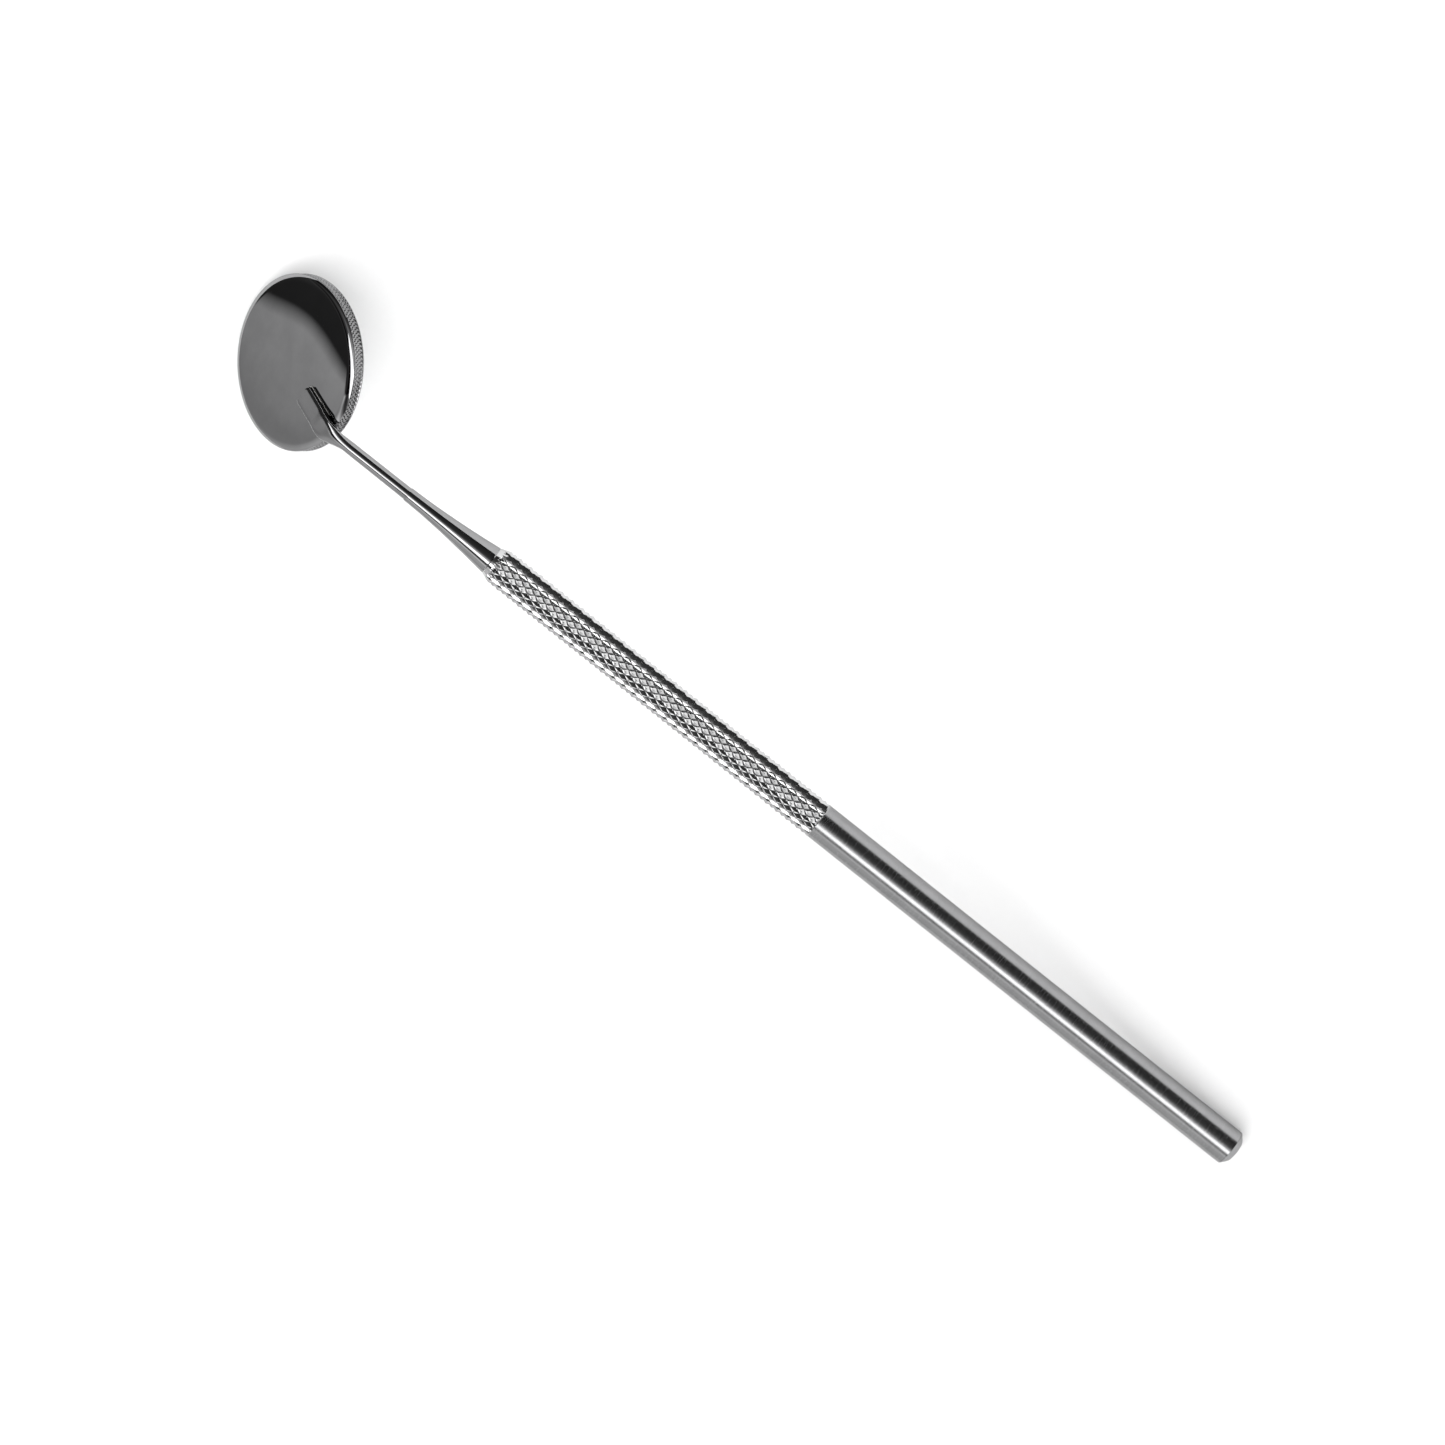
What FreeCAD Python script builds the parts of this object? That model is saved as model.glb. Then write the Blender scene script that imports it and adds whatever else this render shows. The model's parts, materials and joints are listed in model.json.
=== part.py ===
import FreeCAD, Part
import math
import os
import Sketcher
from FreeCAD import Placement, Rotation, Vector

# A dental mouth mirror that comes apart in two: a round handle, knurled at the front and plain
# behind, and a mirror head on a bent stem that screws into the handle's front end.
#
# Handle pieces and the stem are drawn in the handle's own frame: X runs along the handle from
# its butt end (x = 0) to the head, and Z points to the side that the mirror's back faces.
# Head pieces are drawn in the head's own frame: its origin is the middle of the flat back, +Z
# is out of the back and +X points away from the handle.
# At the end everything is laid on its surface, resting on the butt's edge and the mirror's rim.

doc = FreeCAD.newDocument("mouth_mirror")

# Driving dimensions, in millimetres and degrees.
DIMENSIONS = {
    # handle
    "handle_length": 123.3,
    "shank_radius": 2.46,
    "knurl_radius": 2.55,
    "knurl_start": 69.4,
    "knurl_ramp": 0.6,
    "front_chamfer": 1.6,
    "front_face_radius": 1.98,
    "tube_bore_radius": 1.65,
    # butt plug
    "plug_flange": 1.1,
    "plug_crown_radius": 1.5,
    "plug_crown_height": 0.28,
    "plug_spigot": 6.0,
    "plug_spigot_chamfer": 0.3,
    # screw joint
    "socket_length": 9.0,
    "socket_bore_radius": 1.28,
    "socket_mouth_chamfer": 0.15,
    "stub_radius": 1.25,
    "thread_length": 5.625,
    "stub_neck_radius": 1.0,
    "stub_neck_length": 0.6,
    "stub_chamfer": 0.3,
    "tenon_length": 3.2,
    "tenon_clearance": 0.04,
    "seat_gap": 0.02,
    # stem
    "stem_base_radius": 1.95,
    "stem_collar": 0.25,
    "flare_length": 11.2,
    "flare_radius": 120.0,
    "stem_mid_radius": 1.03,
    "stem_wire_radius": 0.82,
    "flattened_length": 4.0,
    "bend_half_width": 1.2,
    "bend_half_height": 0.55,
    "bend_radius": 3.0,
    "foot_thickness": 0.7,
    "foot_merge": 6.6,
    "foot_tip": 5.2,
    "foot_root": 10.8,
    "foot_tip_width": 3.1,
    "foot_root_width": 2.2,
    "foot_corner": 0.45,
    # braze round the foot
    "braze_width": 0.3,
    "braze_height": 0.25,
    # head
    "head_along": 159.4,
    "head_drop": 7.07,
    "head_tilt": 34.0,
    "head_radius": 11.5,
    "back_edge_radius": 0.6,
    "cup_wall": 0.4,
    "skirt_depth": 1.0,
    "skirt_outer_radius": 11.1,
    "skirt_inner_radius": 10.8,
    "pad_thickness": 0.25,
    "glass_radius": 10.6,
    "glass_thickness": 1.3,
    "head_thickness": 2.25,
    "lip_radius": 10.3,
    "lip_chamfer": 0.25,
}

sheet = doc.addObject("Spreadsheet::Sheet", "Sizes")
for row, (alias, value) in enumerate(DIMENSIONS.items(), start=1):
    sheet.set(f"A{row}", alias)
    sheet.set(f"B{row}", str(value))
    sheet.setAlias(f"B{row}", alias)
doc.recompute()

# Lengths that several pieces share, worked out from the driving dimensions.
TILT = "Sizes.head_tilt * 1 deg"
BEND_CORNER_X = f"Sizes.head_along + (Sizes.bend_half_height - Sizes.head_drop * cos({TILT})) / sin({TILT})"
BEND_TANGENT = f"Sizes.bend_radius * tan({TILT} / 2)"
BEND_START_X = f"{BEND_CORNER_X} - {BEND_TANGENT}"
BEND_END_X = f"{BEND_CORNER_X} + {BEND_TANGENT} * cos({TILT})"
BEND_END_Z = f"-({BEND_TANGENT}) * sin({TILT})"
WIRE_END_X = f"{BEND_START_X} - Sizes.flattened_length"
STEM_BACK_X = "Sizes.handle_length + Sizes.seat_gap"
PAD_BOTTOM = "Sizes.cup_wall + Sizes.pad_thickness"
GLASS_BOTTOM = f"{PAD_BOTTOM} + Sizes.glass_thickness"


def value_of(expression):
    """Return the number that an expression over the sheet gives now."""
    result = sheet.evalExpression(expression)
    return float(getattr(result, "Value", result))


def new_body(label):
    """Make an empty body whose label is its file's name."""
    body = doc.addObject("PartDesign::Body", label)
    body.Label = label
    return body


def new_sketch(body, name, role, place=None):
    """Attach an empty sketch to one of the body's origin planes, moved by place if given."""
    plane = [item for item in body.Origin.OriginFeatures if item.Role == role][0]
    sketch = body.newObject("Sketcher::SketchObject", name)
    sketch.AttachmentSupport = [(plane, "")]
    sketch.MapMode = "FlatFace"
    if place is not None:
        sketch.AttachmentOffset = place
    return sketch


def bind(sketch, kind, geometry, expression, name):
    """Add one constraint whose value follows an expression over the sheet."""
    index = sketch.addConstraint(Sketcher.Constraint(kind, *geometry, value_of(expression)))
    sketch.renameConstraint(index, name)
    sketch.setExpression(f"Constraints.{name}", expression)


def draw_outline(sketch, corners, closed=True):
    """Draw lines and arcs through corners.

    A corner is (x, y), two expressions, for a straight edge from the corner before it.
    With a third and fourth entry, radius and side, that edge is an arc of the radius, whose
    middle lies to the left (side 1) or right (side -1) of the straight way.
    """
    points = [Vector(value_of(corner[0]), value_of(corner[1]), 0) for corner in corners]
    first_edge = 0 if closed else 1
    edges = []
    for index in range(first_edge, len(corners)):
        start, end = points[index - 1], points[index]
        if len(corners[index]) == 2:
            curve = Part.LineSegment(start, end)
        else:
            curve = arc_between(start, end, value_of(corners[index][2]), corners[index][3])
        edges.append(sketch.addGeometry(curve, False))
    for index, edge in enumerate(edges):
        end_point = 2 if ends_at(sketch, edge, points[index + first_edge]) else 1
        if index + 1 < len(edges) or closed:
            following = edges[(index + 1) % len(edges)]
            start_point = 1 if ends_at(sketch, following, points[(index + 1 + first_edge)
                                                                % len(points)]) else 2
            sketch.addConstraint(Sketcher.Constraint("Coincident", edge, end_point,
                                                     following, start_point))
    for index, edge in enumerate(edges):
        corner = corners[index + first_edge]
        number = index + first_edge
        end_point = 2 if ends_at(sketch, edge, points[number]) else 1
        bind(sketch, "DistanceX", (-1, 1, edge, end_point), corner[0], f"x{number}")
        bind(sketch, "DistanceY", (-1, 1, edge, end_point), corner[1], f"y{number}")
        if len(corner) > 2:
            bind(sketch, "Radius", (edge,), corner[2], f"r{number}")
    if not closed:
        start_point = 1 if ends_at(sketch, edges[0], points[1]) else 2
        bind(sketch, "DistanceX", (-1, 1, edges[0], start_point), corners[0][0], "x0")
        bind(sketch, "DistanceY", (-1, 1, edges[0], start_point), corners[0][1], "y0")


def arc_between(start, end, radius, side):
    """Arc from start to end, bulging to the left (side 1) or right (side -1) of the way."""
    chord = end - start
    left = Vector(-chord.y, chord.x, 0).normalize()
    middle_gap = math.sqrt(radius ** 2 - (chord.Length / 2) ** 2)
    centre = (start + end) / 2 - left * middle_gap * side
    angles = [math.atan2(point.y - centre.y, point.x - centre.x) for point in (start, end)]
    if side == 1:
        angles.reverse()
    if angles[1] < angles[0]:
        angles[1] += 2 * math.pi
    return Part.ArcOfCircle(Part.Circle(centre, Vector(0, 0, 1), radius), *angles)


def ends_at(sketch, edge, point):
    """Say whether the edge's own end, not its start, is at the point."""
    curve = sketch.Geometry[edge]
    return curve.EndPoint.distanceToPoint(point) < curve.StartPoint.distanceToPoint(point)


def revolve(body, name, corners, axis):
    """Turn an outline drawn on the XZ plane fully about the sketch's H_Axis or V_Axis."""
    sketch = new_sketch(body, name + "_outline", "XZ_Plane")
    draw_outline(sketch, corners)
    turned = body.newObject("PartDesign::Revolution", name)
    turned.Profile = sketch
    turned.ReferenceAxis = (sketch, [axis])
    turned.Angle = 360.0
    return turned


def pad(body, name, sketch, height):
    """Pad a sketch by an expression."""
    feature = body.newObject("PartDesign::Pad", name)
    feature.Profile = sketch
    feature.setExpression("Length", height)
    return feature


def make_handle_tube():
    """Drawn tube: plain shank behind, raised knurled grip in front, chamfered front end."""
    body = new_body("handle_tube")
    revolve(body, "tube", [
        ("Sizes.plug_flange", "Sizes.tube_bore_radius"),
        ("Sizes.plug_flange", "Sizes.shank_radius"),
        ("Sizes.knurl_start", "Sizes.shank_radius"),
        ("Sizes.knurl_start + Sizes.knurl_ramp", "Sizes.knurl_radius"),
        ("Sizes.handle_length - Sizes.front_chamfer", "Sizes.knurl_radius"),
        ("Sizes.handle_length", "Sizes.front_face_radius"),
        ("Sizes.handle_length", "Sizes.tube_bore_radius"),
    ], "H_Axis")
    return body


def make_end_plug():
    """Butt plug: a crowned, bevelled button on a spigot that is pressed into the tube."""
    body = new_body("end_plug")
    spigot_end = "Sizes.plug_flange + Sizes.plug_spigot"
    crown_curve = ("(Sizes.plug_crown_radius ^ 2 + Sizes.plug_crown_height ^ 2)"
                   " / (2 * Sizes.plug_crown_height)")
    bevel_curve = "2 * Sizes.plug_flange"
    revolve(body, "plug", [
        ("0", "0"),
        ("Sizes.plug_crown_height", "Sizes.plug_crown_radius", crown_curve, 1),
        ("Sizes.plug_flange", "Sizes.shank_radius", bevel_curve, 1),
        ("Sizes.plug_flange", "Sizes.tube_bore_radius"),
        (spigot_end + " - Sizes.plug_spigot_chamfer", "Sizes.tube_bore_radius"),
        (spigot_end, "Sizes.tube_bore_radius - Sizes.plug_spigot_chamfer"),
        (spigot_end, "0"),
    ], "H_Axis")
    return body


def make_thread_socket():
    """Bush pressed into the tube's front end, whose bore takes the stem's threaded stub."""
    body = new_body("thread_socket")
    revolve(body, "bush", [
        ("Sizes.handle_length - Sizes.socket_length", "Sizes.socket_bore_radius"),
        ("Sizes.handle_length - Sizes.socket_length", "Sizes.tube_bore_radius"),
        ("Sizes.handle_length", "Sizes.tube_bore_radius"),
        ("Sizes.handle_length", "Sizes.socket_bore_radius + Sizes.socket_mouth_chamfer"),
        ("Sizes.handle_length - Sizes.socket_mouth_chamfer", "Sizes.socket_bore_radius"),
    ], "H_Axis")
    return body


def make_threaded_stub():
    """Round stud in the stem's base: its screwed part goes into the handle's bush."""
    body = new_body("threaded_stub")
    tip = "Sizes.handle_length - Sizes.thread_length"
    neck = "Sizes.handle_length - Sizes.stub_neck_length"
    revolve(body, "stud", [
        (tip, "0"),
        (tip, "Sizes.stub_radius - Sizes.stub_chamfer"),
        (tip + " + Sizes.stub_chamfer", "Sizes.stub_radius"),
        (neck, "Sizes.stub_radius"),
        (neck, "Sizes.stub_neck_radius"),
        ("Sizes.handle_length + Sizes.tenon_length", "Sizes.stub_neck_radius"),
        ("Sizes.handle_length + Sizes.tenon_length", "0"),
    ], "H_Axis")
    return body


def make_mirror_stem():
    """Stem: a base that flares down to a wire, a bend, and a flat foot on the mirror's back."""
    body = new_body("mirror_stem")
    bore = "Sizes.stub_neck_radius + Sizes.tenon_clearance"
    bore_end = "Sizes.handle_length + Sizes.tenon_length + 2 * Sizes.tenon_clearance"
    flare_start = STEM_BACK_X + " + Sizes.stem_collar"
    flare_end = flare_start + " + Sizes.flare_length"
    revolve(body, "shaft", [
        (STEM_BACK_X, bore),
        (STEM_BACK_X, "Sizes.stem_base_radius"),
        (flare_start, "Sizes.stem_base_radius"),
        (flare_end, "Sizes.stem_mid_radius", "Sizes.flare_radius", -1),
        (WIRE_END_X, "Sizes.stem_wire_radius"),
        (WIRE_END_X, "0"),
        (bore_end, "0"),
        (bore_end, bore),
    ], "H_Axis")
    add_bend(body)
    add_foot(body)
    return body


def section_across(body, name, along, up, turned=False):
    """Sketch across the stem at a point of its plane, turned square to the foot if asked."""
    angle = DIMENSIONS["head_tilt"] if turned else 0
    place = Placement(Vector(0, value_of(up), value_of(along)), Rotation(Vector(1, 0, 0), angle))
    sketch = new_sketch(body, name, "YZ_Plane", place)
    sketch.setExpression(".AttachmentOffset.Base.y", up)
    sketch.setExpression(".AttachmentOffset.Base.z", along)
    if turned:
        sketch.setExpression(".AttachmentOffset.Rotation.Angle", TILT)
    return sketch


def draw_ellipse(sketch, half_width, half_height):
    """Ellipse about the sketch's origin, with its long axis level."""
    wide, high = value_of(half_width), value_of(half_height)
    curve = Part.Ellipse(Vector(wide, 0, 0), Vector(0, high, 0), Vector())
    index = sketch.addGeometry(curve, False)
    sketch.exposeInternalGeometry(index)
    sketch.addConstraint(Sketcher.Constraint("Coincident", index, 3, -1, 1))
    sketch.addConstraint(Sketcher.Constraint("Horizontal", index + 1))
    bind(sketch, "Distance", (index + 1,), f"2 * {half_width}", "width")
    bind(sketch, "Distance", (index + 2,), f"2 * {half_height}", "height")


def loft(body, name, profile, section):
    """Straight loft that adds the stretch between two sections."""
    feature = body.newObject("PartDesign::AdditiveLoft", name)
    feature.Profile = profile
    feature.Sections = [section]
    feature.Ruled = True
    return feature


def add_bend(body):
    """Flatten the wire, sweep it round the bend, and thin it out over the foot."""
    wire = section_across(body, "wire_section", WIRE_END_X, "0")
    circle = wire.addGeometry(Part.Circle(Vector(), Vector(0, 0, 1), value_of("Sizes.stem_wire_radius")),
                              False)
    wire.addConstraint(Sketcher.Constraint("Coincident", circle, 3, -1, 1))
    bind(wire, "Radius", (circle,), "Sizes.stem_wire_radius", "wire_radius")
    bend_start = section_across(body, "bend_start", BEND_START_X, "0")
    draw_ellipse(bend_start, "Sizes.bend_half_width", "Sizes.bend_half_height")
    doc.recompute()
    loft(body, "flattening", wire, bend_start)

    line = new_sketch(body, "bend_line", "XZ_Plane")
    draw_outline(line, [
        (BEND_START_X, "0"),
        (BEND_END_X, BEND_END_Z, "Sizes.bend_radius", 1),
    ], closed=False)
    profile = section_across(body, "bend_profile", BEND_START_X, "0")
    draw_ellipse(profile, "Sizes.bend_half_width", "Sizes.bend_half_height")
    doc.recompute()
    sweep = body.newObject("PartDesign::AdditivePipe", "bend")
    sweep.Profile = profile
    sweep.Spine = line

    bend_end = section_across(body, "bend_end", BEND_END_X, BEND_END_Z, turned=True)
    draw_ellipse(bend_end, "Sizes.bend_half_width", "Sizes.bend_half_height")
    merge_x = (f"Sizes.head_along - Sizes.foot_merge * cos({TILT})"
               f" + Sizes.foot_thickness / 2 * sin({TILT})")
    merge_z = (f"Sizes.foot_merge * sin({TILT}) - Sizes.head_drop"
               f" + Sizes.foot_thickness / 2 * cos({TILT})")
    merge = section_across(body, "merge_section", merge_x, merge_z, turned=True)
    draw_ellipse(merge, "Sizes.bend_half_width", "Sizes.foot_thickness / 2")
    doc.recompute()
    loft(body, "thinning", bend_end, merge)


def foot_outline(grow, root_grow="0"):
    """Corners of the foot on the mirror's back, grown at its tip and sides, and at its root."""
    tip = f"-Sizes.foot_tip + {grow}"
    root = f"-Sizes.foot_root - {root_grow}"
    half_tip = f"Sizes.foot_tip_width / 2 + {grow}"
    half_root = f"Sizes.foot_root_width / 2 + {grow}"
    corner = f"Sizes.foot_corner + {grow}"
    return [
        (root, f"-({half_root})"),
        (f"{tip} - ({corner})", f"-({half_tip})"),
        (tip, f"-({half_tip}) + {corner}", corner, -1),
        (tip, f"{half_tip} - ({corner})"),
        (f"{tip} - ({corner})", half_tip, corner, -1),
        (root, half_root),
    ]


def head_placement():
    """Placement of the head's frame in the handle's frame."""
    middle = Vector(DIMENSIONS["head_along"], 0, -DIMENSIONS["head_drop"])
    return Placement(middle, Rotation(Vector(0, 1, 0), DIMENSIONS["head_tilt"]))


def add_foot(body):
    """Pad the flat foot up from the plane of the mirror's back."""
    sketch = new_sketch(body, "foot_outline", "XY_Plane", head_placement())
    draw_outline(sketch, foot_outline("0"))
    pad(body, "foot", sketch, "Sizes.foot_thickness")


def make_foot_braze():
    """Low collar of braze metal round the foot, on the mirror's back."""
    body = new_body("foot_braze")
    outer = new_sketch(body, "braze_outline", "XY_Plane")
    draw_outline(outer, foot_outline("Sizes.braze_width"))
    pad(body, "braze", outer, "Sizes.braze_height")
    doc.recompute()
    inner = new_sketch(body, "foot_opening", "XY_Plane")
    draw_outline(inner, foot_outline("0", "Sizes.braze_width"))
    opening = body.newObject("PartDesign::Pocket", "opening")
    opening.Profile = inner
    opening.Type = "ThroughAll"
    opening.Midplane = True
    return body


def make_head_cup():
    """Pressed back shell: flat back, rounded edge, and a short skirt inside the bezel."""
    body = new_body("head_cup")
    edge = "Sizes.back_edge_radius"
    revolve(body, "shell", [
        ("0", "-Sizes.cup_wall"),
        ("0", "0"),
        (f"Sizes.head_radius - {edge}", "0"),
        ("Sizes.head_radius", f"-{edge}", edge, 1),
        ("Sizes.skirt_outer_radius", f"-{edge}"),
        ("Sizes.skirt_outer_radius", "-Sizes.skirt_depth"),
        ("Sizes.skirt_inner_radius", "-Sizes.skirt_depth"),
        ("Sizes.skirt_inner_radius", "-Sizes.cup_wall"),
    ], "V_Axis")
    return body


def make_bezel_ring():
    """Rim ring: outer wall round the skirt and glass, turned in over the glass as a lip."""
    body = new_body("bezel_ring")
    lip_back = f"-({GLASS_BOTTOM})"
    revolve(body, "rim", [
        ("Sizes.skirt_outer_radius", "-Sizes.back_edge_radius"),
        ("Sizes.head_radius", "-Sizes.back_edge_radius"),
        ("Sizes.head_radius", "-Sizes.head_thickness + Sizes.lip_chamfer"),
        ("Sizes.head_radius - Sizes.lip_chamfer", "-Sizes.head_thickness"),
        ("Sizes.lip_radius", "-Sizes.head_thickness"),
        ("Sizes.lip_radius", lip_back),
        ("Sizes.skirt_inner_radius", lip_back),
        ("Sizes.skirt_inner_radius", "-Sizes.skirt_depth"),
        ("Sizes.skirt_outer_radius", "-Sizes.skirt_depth"),
    ], "V_Axis")
    return body


def make_disc(label, radius, top, bottom):
    """Flat round disc between two depths below the back plane."""
    body = new_body(label)
    revolve(body, "disc", [("0", bottom), ("0", top), (radius, top), (radius, bottom)], "V_Axis")
    return body


def make_edge_seal():
    """Bead of sealing compound between the glass's edge and the bezel."""
    body = new_body("edge_seal")
    revolve(body, "bead", [
        ("Sizes.glass_radius", f"-({GLASS_BOTTOM})"),
        ("Sizes.glass_radius", "-Sizes.skirt_depth"),
        ("Sizes.skirt_inner_radius", "-Sizes.skirt_depth"),
        ("Sizes.skirt_inner_radius", f"-({GLASS_BOTTOM})"),
    ], "V_Axis")
    return body


def rest_tilt():
    """Angle by which the handle's axis rises to the head when butt and rim touch the surface."""
    size = DIMENSIONS
    butt = Vector(size["plug_flange"], 0, -size["shank_radius"])
    rim_edge = Vector(size["head_radius"] - size["lip_chamfer"], 0, -size["head_thickness"])
    way = head_placement().multVec(rim_edge) - butt
    return math.degrees(math.atan2(-way.z, way.x))


handle_bodies = [
    make_handle_tube(),
    make_end_plug(),
    make_thread_socket(),
    make_threaded_stub(),
    make_mirror_stem(),
]
head_bodies = [
    make_foot_braze(),
    make_head_cup(),
    make_disc("backing_pad", "Sizes.glass_radius", "-Sizes.cup_wall", f"-({PAD_BOTTOM})"),
    make_disc("mirror_glass", "Sizes.glass_radius", f"-({PAD_BOTTOM})", f"-({GLASS_BOTTOM})"),
    make_edge_seal(),
    make_bezel_ring(),
]
doc.recompute()

# Lay the mirror on its surface, then centre the origin under its box.
tilted = Placement(Vector(), Rotation(Vector(0, 1, 0), -rest_tilt()))
for body in handle_bodies:
    body.Placement = tilted
for body in head_bodies:
    body.Placement = tilted.multiply(head_placement())
doc.recompute()
box = FreeCAD.BoundBox()
for body in handle_bodies + head_bodies:
    box.add(body.Shape.optimalBoundingBox(False, False))
shift = Placement(Vector(-box.Center.x, -box.Center.y, -box.ZMin), Rotation())
for body in handle_bodies + head_bodies:
    body.Placement = shift.multiply(body.Placement)
doc.recompute()

for item in doc.Objects:
    if "Invalid" in item.State or "Error" in item.State:
        raise RuntimeError(f"{item.Label} failed: {item.State}")
os.makedirs("parts", exist_ok=True)
for body in handle_bodies + head_bodies:
    shape = body.Shape
    if shape.isNull() or not shape.isValid():
        raise RuntimeError(f"{body.Label} has no valid shape")
    shape.exportStep(f"parts/{body.Label}.step")
    print(f"{body.Label}: {len(shape.Solids)} solid, {shape.Volume:.2f} mm3")

lying = shift.multiply(tilted)
print("handle axis runs along", lying.Rotation.multVec(Vector(1, 0, 0)))
print("butt end is at", lying.multVec(Vector(0, 0, 0)))
print("box is", box.XLength, box.YLength, box.ZLength)
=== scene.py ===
import bmesh
import bpy
import json
import math
import numpy as np
from mathutils import Matrix, Vector


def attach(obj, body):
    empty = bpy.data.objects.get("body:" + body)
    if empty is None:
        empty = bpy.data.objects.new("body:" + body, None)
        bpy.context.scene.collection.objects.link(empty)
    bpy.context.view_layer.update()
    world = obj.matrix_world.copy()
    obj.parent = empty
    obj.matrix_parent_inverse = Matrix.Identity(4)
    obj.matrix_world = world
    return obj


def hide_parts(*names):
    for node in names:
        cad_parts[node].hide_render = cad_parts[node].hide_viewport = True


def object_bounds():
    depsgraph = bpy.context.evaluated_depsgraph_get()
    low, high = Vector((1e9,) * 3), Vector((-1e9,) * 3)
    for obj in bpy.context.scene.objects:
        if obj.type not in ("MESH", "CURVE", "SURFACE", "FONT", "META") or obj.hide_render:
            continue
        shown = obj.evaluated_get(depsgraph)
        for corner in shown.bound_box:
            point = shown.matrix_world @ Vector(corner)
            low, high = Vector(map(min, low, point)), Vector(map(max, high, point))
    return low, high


# A dental mouth mirror lying face down on a pale table: a round steel handle, knurled in front,
# and a mirror head on a bent stem that screws into it.
#
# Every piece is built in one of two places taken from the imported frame, in millimetres:
# - the handle's place: first axis along the handle from its butt end, then across, then up;
# - the head's place: first axis out of the mirror's flat back, then ahead, then across.

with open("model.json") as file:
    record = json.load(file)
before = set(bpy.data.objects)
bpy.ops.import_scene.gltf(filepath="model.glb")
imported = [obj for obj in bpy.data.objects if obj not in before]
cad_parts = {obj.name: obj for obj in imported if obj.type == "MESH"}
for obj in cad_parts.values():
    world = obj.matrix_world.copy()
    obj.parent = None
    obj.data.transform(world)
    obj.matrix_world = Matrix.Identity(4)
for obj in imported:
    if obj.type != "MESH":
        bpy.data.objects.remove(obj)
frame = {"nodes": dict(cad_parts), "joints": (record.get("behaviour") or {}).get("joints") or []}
cad_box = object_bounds()
MM = 0.001
ROUND = 2 * math.pi
SPREAD = np.random.default_rng(7)


# ---------------------------------------------------------------- places and measured sizes

def vertices_of(node):
    """A CAD node's vertices in the row frame, in metres."""
    return np.array([vertex.co for vertex in frame["nodes"][node].data.vertices], float)


def local_points(node, place):
    """A CAD node's vertices in a place, in millimetres."""
    origin, axes = place
    return (vertices_of(node) - origin) @ axes.T / MM


def radii(points):
    """Distances of points in a place from its first axis."""
    return np.hypot(points[:, 1], points[:, 2])


def handle_place():
    """The handle's place: its butt end and its axes as rows."""
    turn = [joint for joint in frame["joints"] if joint["name"] == "thread_turn"][0]
    axis = np.array(turn["axis"], float)
    across = np.array([0.0, 1.0, 0.0])
    front = np.array(turn["pos_m"], float)
    butt = front + axis * ((vertices_of("end_plug") - front) @ axis).min()
    return butt, np.array([axis, across, np.cross(axis, across)])


def head_place():
    """The head's place: the middle of the flat back and its axes as rows."""
    glass = vertices_of("mirror_glass")
    middle = (glass.min(axis=0) + glass.max(axis=0)) / 2
    normal = np.linalg.svd(glass - middle)[2][2]
    normal = normal * np.sign(normal[2])
    across = np.array([0.0, 1.0, 0.0])
    rise = ((vertices_of("head_cup") - middle) @ normal).max()
    return middle + normal * rise, np.array([normal, np.cross(across, normal), across])


HANDLE = handle_place()
HEAD = head_place()
HEAD_TILT = math.acos(float(HANDLE[1][2] @ HEAD[1][0]))

tube = local_points("handle_tube", HANDLE)
HANDLE_LENGTH = tube[:, 0].max()
FLANGE = tube[:, 0].min()
BORE_RADIUS = radii(tube).min()
KNURL_RADIUS = radii(tube).max()
SHANK_RADIUS = radii(tube[tube[:, 0] < FLANGE + 1]).max()
KNURL_START = tube[np.abs(radii(tube) - SHANK_RADIUS) < 0.01][:, 0].max()
FRONT_FACE_RADIUS = radii(tube[tube[:, 0] > HANDLE_LENGTH - 0.01]).max()
CHAMFER_START = tube[radii(tube) > KNURL_RADIUS - 0.01][:, 0].max()

stub = local_points("threaded_stub", HANDLE)
STUB_TIP = stub[:, 0].min()
STUB_END = stub[:, 0].max()
STUB_RADIUS = radii(stub).max()
STUB_NECK_RADIUS = radii(stub[stub[:, 0] > HANDLE_LENGTH]).max()

stem = local_points("mirror_stem", HANDLE)
STEM_BACK = stem[:, 0].min()
STEM_BASE_RADIUS = radii(stem[stem[:, 0] < STEM_BACK + 0.01]).max()
STEM_BORE_RADIUS = radii(stem[stem[:, 0] < STEM_BACK + 0.01]).min()

foot = local_points("mirror_stem", HEAD)
FOOT_TIP = foot[:, 1].max()
FOOT_HALF_WIDTH = np.abs(foot[foot[:, 1] > FOOT_TIP - 1.0][:, 2]).max()
FOOT_THICKNESS = foot[foot[:, 1] > FOOT_TIP - 0.01][:, 0].max()

bezel = local_points("bezel_ring", HEAD)
HEAD_RADIUS = radii(bezel).max()
HEAD_BOTTOM = bezel[:, 0].min()
BEZEL_TOP = bezel[:, 0].max()
LIP_RADIUS = radii(bezel).min()

cup = local_points("head_cup", HEAD)
SKIRT_BOTTOM = cup[:, 0].min()
SKIRT_OUTER = radii(cup[cup[:, 0] < SKIRT_BOTTOM + 0.01]).max()
SKIRT_INNER = radii(cup[cup[:, 0] < SKIRT_BOTTOM + 0.01]).min()

glass = local_points("mirror_glass", HEAD)
GLASS_RADIUS = radii(glass).max()
GLASS_TOP = glass[:, 0].max()
GLASS_BOTTOM = glass[:, 0].min()
CUP_INSIDE = local_points("backing_pad", HEAD)[:, 0].max()

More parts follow.
